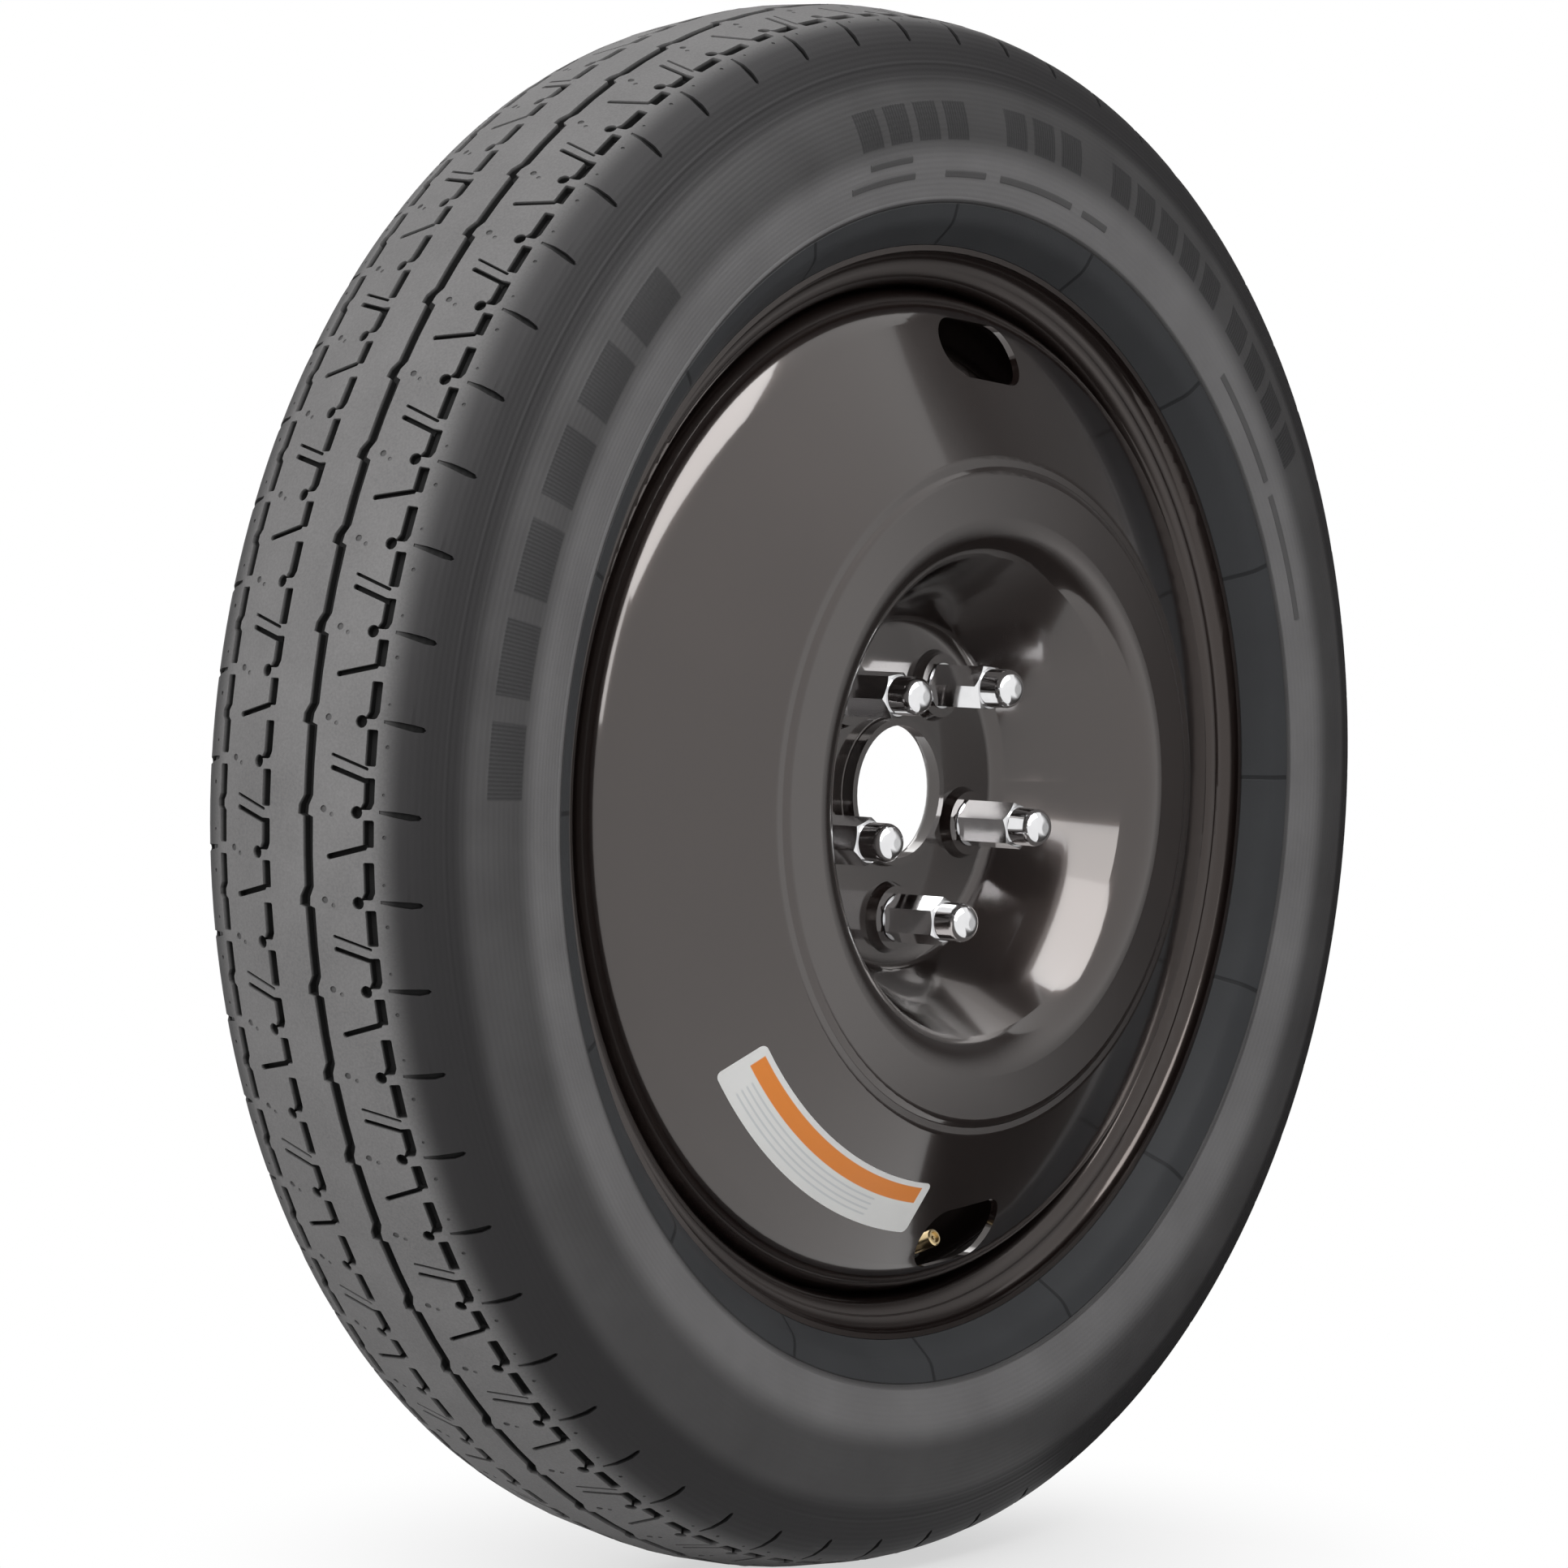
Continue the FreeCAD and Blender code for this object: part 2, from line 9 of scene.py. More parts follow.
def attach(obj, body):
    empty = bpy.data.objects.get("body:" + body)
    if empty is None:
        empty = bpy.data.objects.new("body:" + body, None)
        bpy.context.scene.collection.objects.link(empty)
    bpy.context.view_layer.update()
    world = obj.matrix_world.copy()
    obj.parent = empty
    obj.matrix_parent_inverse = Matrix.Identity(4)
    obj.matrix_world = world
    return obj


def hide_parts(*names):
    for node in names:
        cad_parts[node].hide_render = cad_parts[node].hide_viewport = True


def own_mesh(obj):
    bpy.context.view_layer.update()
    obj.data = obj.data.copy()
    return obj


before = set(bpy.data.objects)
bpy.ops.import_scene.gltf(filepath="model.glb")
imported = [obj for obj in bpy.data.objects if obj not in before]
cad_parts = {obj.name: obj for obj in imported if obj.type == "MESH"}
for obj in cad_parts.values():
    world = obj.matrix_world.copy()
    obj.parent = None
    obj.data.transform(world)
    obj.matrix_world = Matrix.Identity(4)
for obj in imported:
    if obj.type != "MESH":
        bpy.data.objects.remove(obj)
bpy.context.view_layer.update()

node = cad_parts


# Rim: a strip of steel rolled into a hoop, welded and pressed between rollers to its flanges,
# bead seats and well. It is dipped in black paint together with the disc welded into it.
class Shade:
    """One output of a shader node. Arithmetic adds Math nodes, and node() adds any other kind."""

    def __init__(self, tree, socket):
        self.tree = tree
        self.socket = socket

    def node(self, kind, settings=None, inputs=None, output=0):
        made = self.tree.nodes.new(kind)
        for name, value in (settings or {}).items():
            setattr(made, name, value)
        for name, value in (inputs or {}).items():
            if isinstance(value, Shade):
                self.tree.links.new(value.socket, made.inputs[name])
            else:
                made.inputs[name].default_value = value
        return Shade(self.tree, made.outputs[output])

    def twin(self, output):
        """Another output of the same node."""
        return Shade(self.tree, self.socket.node.outputs[output])

    def into(self, shader, name):
        self.tree.links.new(self.socket, shader.inputs[name])

    def math(self, operation, first, second=0.0):
        return self.node("ShaderNodeMath", {"operation": operation}, {0: first, 1: second})

    def __add__(self, other):
        return self.math("ADD", self, other)

    __radd__ = __add__

    def __sub__(self, other):
        return self.math("SUBTRACT", self, other)

    def __rsub__(self, other):
        return self.math("SUBTRACT", other, self)

    def __mul__(self, other):
        return self.math("MULTIPLY", self, other)

    __rmul__ = __mul__

    def step(self, low, high):
        """0 below low, 1 above high, and a smooth rise between."""
        return self.node("ShaderNodeMapRange", {"interpolation_type": "SMOOTHSTEP"},
                         {"Value": self, "From Min": low, "From Max": high})

    def between(self, low, low_end, high, high_end):
        """A rise from low to low_end, 1 after it, and a fall from high to high_end."""
        return self.step(low, low_end) * (1.0 - self.step(high, high_end))

    def near(self, value, core, edge):
        """1 within core of a value, and 0 from edge on."""
        return 1.0 - self.math("ABSOLUTE", self - value).step(core, edge)

    def axes(self):
        """The x, y and z of a vector."""
        x = self.node("ShaderNodeSeparateXYZ", {}, {"Vector": self})
        return x, x.twin(1), x.twin(2)

    def noise(self, scale, detail=3.0):
        return self.node("ShaderNodeTexNoise", {}, {"Vector": self, "Scale": scale, "Detail": detail})

    def mix(self, first, second):
        """A colour between two others, by this value."""
        return self.node("ShaderNodeMix", {"data_type": "RGBA"}, {0: self, 6: first, 7: second}, 2)

    def bump(self, strength, depth):
        return self.node("ShaderNodeBump", {}, {"Height": self, "Strength": strength, "Distance": depth})


def new_finish(name):
    """A new material, its shader, and the Object coordinates that its patterns follow."""
    material = bpy.data.materials.new(name)
    material.use_nodes = True
    tree = material.node_tree
    place = Shade(tree, tree.nodes.new("ShaderNodeTexCoord").outputs["Object"])
    return material, tree.nodes["Principled BSDF"], place


def wear(material, *names):
    """Gives CAD nodes one material in place of their own."""
    for name in names:
        node[name].data.materials.clear()
        node[name].data.materials.append(material)


paint_dark = (0.0105, 0.0066, 0.0060, 1)
paint_pale = (0.0165, 0.0112, 0.0100, 1)
paint_sheen = (1.0, 0.84, 0.77, 1)
rim_gloss = 0.3
black_paint, paint_shader, place = new_finish("black_paint")
paint_shader.inputs["Coat Weight"].default_value = 1.0
paint_shader.inputs["Coat Roughness"].default_value = 0.07
paint_shader.inputs["Coat IOR"].default_value = 1.6
paint_shader.inputs["Specular Tint"].default_value = paint_sheen
cloud = place.noise(9.0, 4.0)
grain = place.noise(420.0, 2.0)
cloud.step(0.35, 0.7).mix(paint_dark, paint_pale).into(paint_shader, "Base Color")
(0.11 + cloud * 0.09 + grain * 0.03).into(paint_shader, "Roughness")
grain.bump(0.05, 0.0002).into(paint_shader, "Normal")
rim_paint = black_paint.copy()
rim_paint.name = "rim_paint"
rim_paint.node_tree.nodes["Principled BSDF"].inputs["Coat Weight"].default_value = rim_gloss
wear(rim_paint, "rim")


# Disc: one pressing of steel sheet with a raised crest round the hub well, a small step in its
# face, five cone seats and two hand holes. Its rolled edge is pushed under the rim's bead seat,
# and it is painted with the rim.
wear(black_paint, "disc")


# Weld beads: four runs of weld metal in the corner behind the disc's edge. A machine lays them
# while the wheel turns, they join the disc to the rim, and the paint covers their ripples.
weld_paint, weld_shader, place = new_finish("weld_paint")
ripple = place.noise(260.0, 2.0)
ripple.mix((0.012, 0.010, 0.009, 1), (0.026, 0.023, 0.021, 1)).into(weld_shader, "Base Color")
(0.25 + ripple * 0.2).into(weld_shader, "Roughness")
ripple.bump(0.5, 0.0008).into(weld_shader, "Normal")
wear(weld_paint, "disc_welds")


# Tyre: a narrow temporary tyre, cured in a mould from rubber over cords. One thin groove runs all
# round it, the others are broken into dashes, and short sipes and shoulder slots cross the ribs.
# It is held on the rim by its beads alone. Its sizes are in millimetres.
wheel_offset = 37.5
tyre_radius = 354.0
pitch_count = 58
first_pitch = -2.0
pitch = 2 * math.pi * tyre_radius / pitch_count
inner_groove = 12.0
outer_groove = 41.2
groove_half = 2.5
groove_depth = 4.5
pit_depth = 4.0
sipe_depth = 3.5
thin_sipe_depth = 2.4
vent_depth = 0.5
slot_depth = 0.7
slot_edge_depth = 1.9
slot_deepens_from = 46.0
slot_deepens_over = 9.0
# Cuts this deep get the full painted shade, shallower ones less
full_shade_depth = 4.0
rib_drop = 5.2
edge_drop = 5.5
tread_flat_end = 46.5
tread_edge = 56.5
shoulder_bend = 24.0
band_end = (65.44, 325.0)
wall_foot = (74.2, 264.3)
seat_edge = (61.2, 246.2)
bead_toe = 32.8
crown_edge = 41.2
crown_radius = 339.8


def tread_radius(t):
    """Radius of the tread's face at a distance t outboard of its middle."""
    across = abs(t)
    if across <= inner_groove:
        return tyre_radius
    if across <= outer_groove:
        return tyre_radius - (across - inner_groove) * rib_drop / (outer_groove - inner_groove)
    return tyre_radius - rib_drop - (across - outer_groove) * edge_drop / (tread_edge - outer_groove)


def rounded(corners, step):
    """Points along a line through (t, r, bend) corners, with each bend drawn as an arc."""
    points = [Vector(corners[0][:2])]
    for (t0, r0, _), (t1, r1, bend), (t2, r2, _) in zip(corners, corners[1:], corners[2:]):
        corner = Vector((t1, r1))
        back = (Vector((t0, r0)) - corner).normalized()
        ahead = (Vector((t2, r2)) - corner).normalized()
        half = back.angle(ahead) / 2
        middle = corner + (back + ahead).normalized() * (bend / math.sin(half))
        start = corner + back * (bend / math.tan(half)) - middle
        end = corner + ahead * (bend / math.tan(half)) - middle
        count = max(2, math.ceil((math.pi - 2 * half) * bend / step))
        turn = start.angle_signed(end)
        for k in range(count + 1):
            spoke = start.copy()
            spoke.rotate(Matrix.Rotation(-turn * k / count, 2))
            points.append(middle + spoke)
    points.append(Vector(corners[-1][:2]))
    return points


shoulder_line = rounded([
    (tread_flat_end, tread_radius(tread_flat_end), 0),
    (tread_edge, tread_radius(tread_edge), shoulder_bend),
    (*band_end, 0),
], 1.8)
outer_wall = rounded([(*band_end, 0), (79.6, 296.0, 60.0), (74.3, 267.6, 0)], 5.0)
fitting_line = [Vector(p) for p in ((74.9, 266.3), (74.6, 265.5), (73.7, 265.0), wall_foot)]
flange_side = rounded([(*wall_foot, 0), (72.0, 256.0, 14.0), (*seat_edge, 0)], 2.0)
bead = rounded([(*seat_edge, 0), (50.6, 246.2, 9.4), (50.6, 231.2, 5.0), (bead_toe, 229.6, 0)], 3.0)
wall_line = outer_wall + fitting_line + flange_side[1:] + bead[1:]
cavity_line = [Vector(p) for p in (
    (bead_toe, 232.4), (47.8, 251.5), (68.8, 271.5), (72.0, 296.0), (51.0, 322.3),
    (crown_edge, crown_radius))]

shoulder_run = [0.0]
for a, b in zip(shoulder_line, shoulder_line[1:]):
    shoulder_run.append(shoulder_run[-1] + (b - a).length)
band_half = tread_flat_end + shoulder_run[-1]


def on_tread(across):
    """(t, r) of the tread band; across is t on the flat part, then follows the shoulder's surface."""
    side = math.copysign(1, across)
    past = abs(across) - tread_flat_end
    if past <= 0:
        return across, tread_radius(across)
    for k in range(len(shoulder_run) - 1):
        if past <= shoulder_run[k + 1] + 1e-6:
            share = (past - shoulder_run[k]) / (shoulder_run[k + 1] - shoulder_run[k])
            point = shoulder_line[k].lerp(shoulder_line[k + 1], min(share, 1.0))
            return side * point.x, point.y
    return side * shoulder_line[-1].x, shoulder_line[-1].y


def off_tread(across, depth, probe=0.2):
    """(t, r) at a depth under the tread's face, straight down into the rubber."""
    t, r = on_tread(across)
    t0, r0 = on_tread(across - probe)
    t1, r1 = on_tread(across + probe)
    down = Vector((r1 - r0, t0 - t1)).normalized() * depth
    return t + down.x, r + down.y


def in_wheel(t, r, angle):
    """Point of the wheel in metres; the angle is in radians, from +X towards +Z."""
    return Vector((r * math.cos(angle), wheel_offset - t, r * math.sin(angle))) / 1000


# The tread is drawn flat, two pitches at a time: (along, across) outlines with a depth for each
def strip(u, v, line, half):
    """Outline of a groove at (u, v), along (along, across, extra half width) points."""
    near = [(u + a, v + b - half - extra) for a, b, extra in line]
    far = [(u + a, v + b + half + extra) for a, b, extra in reversed(line)]
    return near + far


def pit(u, v, radius, sides=12):
    """Outline of a round hole."""
    turns = [2 * math.pi * k / sides for k in range(sides)]
    return [(u + radius * math.cos(turn), v + radius * math.sin(turn)) for turn in turns]


def bar(u0, v0, u1, v1, half):
    """Outline of a straight cut with cropped ends."""
    ahead = Vector((u1 - u0, v1 - v0)).normalized()
    aside = Vector((-ahead.y, ahead.x))
    start, end = Vector((u0, v0)), Vector((u1, v1))
    crop = half * 0.6
    return [tuple(p) for p in (
        start - aside * (half - crop),
        start + ahead * crop - aside * half,
        end - ahead * crop - aside * half,
        end - aside * (half - crop),
        end + aside * (half - crop),
        end - ahead * crop + aside * half,
        start + ahead * crop + aside * half,
        start + aside * (half - crop))]


kinked_groove = [(-0.5 * pitch, 0, 0), (-6.0, 0, 0), (-1.8, -2.3, 0.4), (2.0, -2.6, 0.4), (3.0, 0, 0.1),
                 (0.5 * pitch, 0, 0)]
waved_dash = [(2.4, 0, -0.4), (3.2, 0, 0), (0.5 * pitch - 4.0, 0, 0), (0.5 * pitch - 1.4, -1.5, 0.1),
              (0.5 * pitch + 1.4, -1.5, 0.1), (0.5 * pitch + 3.0, 0, 0), (pitch - 3.2, 0, 0),
              (pitch - 2.4, 0, -0.4)]
shoulder_slot = [(-0.9, 45.8), (0.5, 45.8), (1.9, 52.0), (3.3, 59.0), (3.2, 63.0), (2.2, 64.0), (1.0, 63.0),
                 (0.2, 59.0), (-0.6, 52.0)]
cuts = []


def carve(outline, depth, edge_depth=None):
    """Notes a cut, with its depth on the ribs and, where it differs, at the tread's edge."""
    cuts.append((outline, depth, edge_depth or depth))


for k in range(-2, 5):
    outboard = k * pitch
    inboard = (k + 0.5) * pitch
    one_sipe = k % 2 == 1
    # Continuous groove with a small kink at each pitch
    carve(strip(outboard, inner_groove, kinked_groove, groove_half), groove_depth)
    # Two dashes, a round pit and sipes to each pitch, by the outboard shoulder and inboard of the middle
    for u, v in ((outboard, outer_groove), (inboard, -inner_groove)):
        start, end = (-14.4, 15.0) if one_sipe else (-17.0, 19.0)
        bent_dash = [(start, 0, -0.5), (start + 0.6, 0, 0), (-4.0, 0, 0), (-1.4, -1.3, 0.2),
                     (-0.9, -1.7, -0.4)]
        straight_dash = [(3.4, 0, -0.5), (4.0, 0, 0), (end - 0.6, 0, 0), (end, 0, -0.5)]
        carve(strip(u, v, bent_dash, groove_half), groove_depth)
        carve(pit(u + 0.3, v - 5.6, 2.8), pit_depth)
        carve(strip(u, v, straight_dash, groove_half), groove_depth)
        if one_sipe:
            carve(bar(u + 14.6, v - 0.4, u + 19.6, v - 20.0, 1.25), sipe_depth)
        else:
            carve(bar(u + 20.4, v - 0.6, u + 14.6, v - 18.8, 0.7), thin_sipe_depth)
            carve(bar(u + 25.6, v - 0.6, u + 20.0, v - 18.8, 1.15), sipe_depth)
        carve(pit(u - 0.6, v - 21.6, 1.5), vent_depth + 0.3)
        carve(pit(u + 1.6, v - 17.6, 1.0), vent_depth)
    # Long dashes with a wave, in the inboard shoulder's groove
    carve(strip(inboard, -outer_groove, waved_dash, groove_half - 0.1), groove_depth)
    # Shoulder slots, shallow at the rib and deep at the edge, with mould vents beside them
    for u, side in ((outboard, 1), (inboard, -1)):
        carve([(u + a, side * b) for a, b in shoulder_slot[::side]], slot_depth, slot_edge_depth)
        carve(pit(u + 10.5, side * 48.2, 0.9), vent_depth + 0.1)
        carve(pit(u - 7.5, side * 47.6, 0.7), vent_depth)

columns = 8
unit_length = 2 * pitch
steps = [k * unit_length / columns for k in range(columns + 1)]
rib_rows = [0.0, 6.0, 18.0, 24.0, 30.0, 36.0]
rows = rib_rows + [tread_flat_end + run for run in shoulder_run]
rows = sorted({side * row for row in rows for side in (-1, 1)})
border = [(u, -band_half) for u in steps]
border += [(unit_length, row) for row in rows[1:-1]]
border += [(u, band_half) for u in reversed(steps)]
border += [(0.0, row) for row in reversed(rows[1:-1])]
flat_points = []
flat_faces = []
for polygon in [border] + [outline for outline, _, _ in cuts]:
    flat_faces.append(list(range(len(flat_points), len(flat_points) + len(polygon))))
    flat_points += [Vector(p) for p in polygon]
flat_points += [Vector((u, row)) for u in steps[1:-1] for row in rows[1:-1]]
flat = delaunay_2d_cdt(flat_points, [], flat_faces, 0, 1e-4)
points, triangles, from_faces = flat[0], flat[2], flat[5]

unit = bmesh.new()
cut_depth = unit.verts.layers.float.new("cut_depth")
made = {}


def tread_vertex(index, cut):
    """The vertex of a flat point on the tread's face (cut 0), or on the floor of a cut."""
    if (index, cut) not in made:
        u, v = points[index]
        depth = 0.0
        if cut:
            shallow, deep = cuts[cut - 1][1:]
            share = (abs(v) - slot_deepens_from) / slot_deepens_over
            depth = shallow + (deep - shallow) * min(1.0, max(0.0, share))
        t, r = off_tread(v, depth)
        made[index, cut] = unit.verts.new(in_wheel(t, r, u / tyre_radius))
        # The depth share sets how much painted shade this vertex gets
        made[index, cut][cut_depth] = min(1.0, depth / full_shade_depth)
    return made[index, cut]


covers_of_edge = {}
for triangle, origins in zip(triangles, from_faces):
    if 0 not in origins:
        continue
    cut = max((f for f in origins if f > 0), key=lambda f: cuts[f - 1][2], default=0)
    face = unit.faces.new([tread_vertex(i, cut) for i in triangle])
    face.normal_update()
    middle = face.calc_center_median()
    if face.normal.dot(Vector((middle.x, 0, middle.z))) < 0:
        face.normal_flip()
    for a, b in zip(triangle, list(triangle[1:]) + [triangle[0]]):
        covers_of_edge.setdefault((min(a, b), max(a, b)), []).append(cut)
for (a, b), covers in covers_of_edge.items():
    if len(covers) == 2 and covers[0] != covers[1]:
        ring = [tread_vertex(a, covers[0]), tread_vertex(b, covers[0]),
                tread_vertex(b, covers[1]), tread_vertex(a, covers[1])]
        if len({v.co.to_tuple(7) for v in ring}) == 4:
            unit.faces.new(ring)


def ring_points(t, r):
    """A row of vertices across the two pitches."""
    return [unit.verts.new(in_wheel(t, r, u / tyre_radius)) for u in steps]


# Sidewalls, beads and the inside follow the same two pitches
for side in (1, -1):
    rings = [ring_points(side * p.x, p.y) for p in wall_line + cavity_line]
    for low, high in zip(rings, rings[1:]):
        for k in range(columns):
            unit.faces.new((low[k], low[k + 1], high[k + 1], high[k]))
crown = [ring_points(t, crown_radius) for t in (-crown_edge, crown_edge)]
for k in range(columns):
    unit.faces.new((crown[0][k], crown[0][k + 1], crown[1][k + 1], crown[1][k]))
bmesh.ops.remove_doubles(unit, verts=unit.verts, dist=2e-6)
unit_mesh = bpy.data.meshes.new("tread_unit")
unit.to_mesh(unit_mesh)
unit.free()


def put_in_scene(name, data):
    """A new object at the origin."""
    made = bpy.data.objects.new(name, data)
    bpy.context.scene.collection.objects.link(made)
    return made


tyre_unit = put_in_scene("tread_unit", unit_mesh)

# Rubber: lighter grey on the tread, darker on the walls and mottled all over, with ribbed blocks on the
# outboard wall and a bluish band with mould marks at the bead. Painted shade darkens the cuts, the tread's
# edges and the wall by the shoulder, and painted light makes a paler ring on the walls. Radii are in
# metres, block places in degrees.
wall_dark, wall_dusty = (0.058, 0.056, 0.057, 1), (0.098, 0.096, 0.097, 1)
# Painted light: the colours of the paler ring on the walls
lit_ring_dark, lit_ring_dusty = (0.150, 0.146, 0.148, 1), (0.225, 0.221, 0.223, 1)
# The tread is painted lighter grey than the walls
tread_dark, tread_pale = (0.104, 0.102, 0.102, 1), (0.250, 0.246, 0.246, 1)
bead_dark, bead_dusty = (0.040, 0.041, 0.044, 1), (0.055, 0.057, 0.060, 1)
# Painted shade: the colour of the wall under the shoulder
shoulder_shade_black = (0.026, 0.025, 0.026, 1)
block_black = (0.026, 0.026, 0.027, 1)
mark_black = (0.012, 0.012, 0.013, 1)
# Painted shade: the near-black colour of the cuts' floors and walls
cut_shade_black = (0.005, 0.005, 0.005, 1)
mark_count = 16
mark_turn = 0.5755
wall_ring_rate = 2600.0
block_rib_rate = 1080.0
ridge_half = 0.0012
block_runs = ((129, 178, 6), (87, 103, 4), (70.4, 82.6, 3), (46.6, 66.6, 5), (27.8, 45, 4))
rubber, rubber_shader, place = new_finish("tyre_rubber")
rubber_shader.inputs["Specular IOR Level"].default_value = 0.13
x, y, z = place.axes()
in_cut = place.node("ShaderNodeAttribute", {"attribute_name": "cut_depth"}, {}, 2)
radius = x.math("SQRT", x * x + z * z)
angle = x.math("ARCTAN2", z, x)
across = x.math("ABSOLUTE", y - 0.001 * wheel_offset)
speckle = place.noise(900.0, 2.0)
dust = place.noise(26.0, 5.0)
# Painted shade as well: the tread's paler colour gives way to the wall's from 40 to 55 mm out from its
# middle
tread_share = radius.step(0.3240, 0.3360) * (1.0 - across.step(0.040, 0.055))
# Painted shade: the wall from 315 to 324 mm radius is painted near black
shoulder_shade_share = radius.step(0.3150, 0.3240)
# Painted light: the walls from 266 to 296 mm radius are painted paler, as if lit
lit_ring_share = radius.between(0.2655, 0.2680, 0.2820, 0.2960)
bead_share = 1.0 - radius.step(0.2640, 0.2652)
mark_angle = x.math("FRACT", angle * (mark_count / (2 * math.pi)) + mark_turn)
mark_share = mark_angle.near(0.5, 0.006, 0.014) * bead_share
wall_rings = x.math("SINE", radius * wall_ring_rate) * (1.0 - bead_share) * (1.0 - tread_share)
ridges = radius.near(0.3270, 0.0, ridge_half) + radius.near(0.3205, 0.0, ridge_half)
blocks = 0.0
for start, end, count in block_runs:
    run = (angle * (180 / math.pi) - start) * (count / (end - start))
    single = x.math("FRACT", run).near(0.5, 0.36, 0.39)
    blocks = blocks + run.between(0.0, 0.05, count - 0.05, count) * single
outboard_share = 1.0 - y.step(-0.010, 0.0)
blocks = blocks * radius.between(0.2925, 0.2933, 0.3097, 0.3105) * outboard_share
block_ribs = x.math("SINE", angle * block_rib_rate)
wall_colour = dust.mix(wall_dark, wall_dusty)
wall_colour = lit_ring_share.mix(wall_colour, dust.mix(lit_ring_dark, lit_ring_dusty))
wall_colour = (shoulder_shade_share * 0.90).mix(wall_colour, shoulder_shade_black)
wall_colour = (blocks * 0.60).mix(wall_colour, block_black)
tread_colour = (dust * 0.5 + speckle * 0.5).mix(tread_dark, tread_pale)
colour = tread_share.mix(wall_colour, tread_colour)
colour = bead_share.mix(colour, dust.mix(bead_dark, bead_dusty))
colour = (mark_share * 0.7).mix(colour, mark_black)
# Painted shade: the cuts go near black, the deepest most; the raised wall bars take part of this colour too
colour = (in_cut.step(0.0, 0.45) * 0.95).mix(colour, cut_shade_black)
colour.into(rubber_shader, "Base Color")
(0.50 + tread_share * 0.22 + dust * 0.12 - bead_share * 0.06).into(rubber_shader, "Roughness")
relief = speckle * 0.35 + wall_rings * 0.15 - mark_share * 0.8 + ridges * 0.9
relief = relief + blocks * (0.6 + block_ribs * 0.4)
relief.bump(0.35, 0.0006).into(rubber_shader, "Normal")

# The two pitches are set round the wheel and welded to each other
around = bpy.data.node_groups.new("tread_round_wheel", "GeometryNodeTree")
around.interface.new_socket("Geometry", in_out="INPUT", socket_type="NodeSocketGeometry")
unit_count = around.interface.new_socket("Unit count", in_out="INPUT", socket_type="NodeSocketInt")
start_angle = around.interface.new_socket("Start angle", in_out="INPUT", socket_type="NodeSocketFloat")
around.interface.new_socket("Geometry", in_out="OUTPUT", socket_type="NodeSocketGeometry")
entry = around.nodes.new("NodeGroupInput")
leave = around.nodes.new("NodeGroupOutput")
places = around.nodes.new("GeometryNodePoints")
index = around.nodes.new("GeometryNodeInputIndex")
share = around.nodes.new("ShaderNodeMath")
share.operation = "DIVIDE"
turn = around.nodes.new("ShaderNodeMath")
turn.operation = "MULTIPLY_ADD"
turn.inputs[1].default_value = -2 * math.pi
spin = around.nodes.new("ShaderNodeCombineXYZ")
copies = around.nodes.new("GeometryNodeInstanceOnPoints")
solid = around.nodes.new("GeometryNodeRealizeInstances")
weld = around.nodes.new("GeometryNodeMergeByDistance")
weld.inputs["Distance"].default_value = 4e-6
coat = around.nodes.new("GeometryNodeSetMaterial")
coat.inputs["Material"].default_value = rubber
for source, target in (
        (entry.outputs["Unit count"], places.inputs["Count"]),
        (index.outputs[0], share.inputs[0]),
        (entry.outputs["Unit count"], share.inputs[1]),
        (share.outputs[0], turn.inputs[0]),
        (entry.outputs["Start angle"], turn.inputs[2]),
        (turn.outputs[0], spin.inputs["Y"]),
        (places.outputs[0], copies.inputs["Points"]),
        (entry.outputs["Geometry"], copies.inputs["Instance"]),
        (spin.outputs[0], copies.inputs["Rotation"]),
        (copies.outputs[0], solid.inputs["Geometry"]),
        (solid.outputs[0], weld.inputs["Geometry"]),
        (weld.outputs[0], coat.inputs["Geometry"]),
        (coat.outputs[0], leave.inputs["Geometry"])):
    around.links.new(source, target)
repeat = tyre_unit.modifiers.new("tread_round_wheel", "NODES")
repeat.node_group = around
repeat[unit_count.identifier] = pitch_count // 2
repeat[start_angle.identifier] = -math.radians(first_pitch)
bpy.context.view_layer.update()
evaluated = tyre_unit.evaluated_get(bpy.context.evaluated_depsgraph_get())
tyre_mesh = bpy.data.meshes.new_from_object(evaluated)
bpy.data.objects.remove(tyre_unit)
skin = bmesh.new()
skin.from_mesh(tyre_mesh)


def on_wall(radius, lift, angle):
    """Point of the outboard wall at that radius, lifted off the rubber; the angle is in degrees."""
    for a, b in zip(wall_line, wall_line[1:]):
        if b.y <= radius <= a.y:
            share = (a.y - radius) / (a.y - b.y)
            return in_wheel(a.x + (b.x - a.x) * share + lift, radius, math.radians(angle))


# Plain raised bars on the ring of the outboard wall that is painted paler as lit, by radius and by first
# and last degree
bar_shade = 0.22
bar_step = 1.2
wall_bars = ((276.0, 95.4, 104.7), (276.0, 84.8, 90.8), (276.0, 71.3, 82.5), (276.0, 65.4, 69.4),
             (276.0, 28.8, 41.6), (276.0, 14.1, 27.2), (283.6, 95.8, 101.8))
bar_section = ((0, -0.6), (0.2, 0.25), (0.6, 0.5), (2.8, 0.5), (3.2, 0.25), (3.4, -0.6))
shaded = skin.verts.layers.float["cut_depth"]
for low, start, end in wall_bars:
    count = math.ceil((end - start) / bar_step)
    degrees = [start + (end - start) * k / count for k in range(count + 1)]
    rings = [[skin.verts.new(on_wall(low + r, lift, degree)) for r, lift in bar_section]
             for degree in degrees]
    for corner in sum(rings, []):
        corner[shaded] = bar_shade
    for ring, following in zip(rings, rings[1:]):
        for k in range(len(bar_section)):
            skin.faces.new((ring[k - 1], ring[k], following[k], following[k - 1]))
    skin.faces.new(rings[0])
    skin.faces.new(rings[-1])
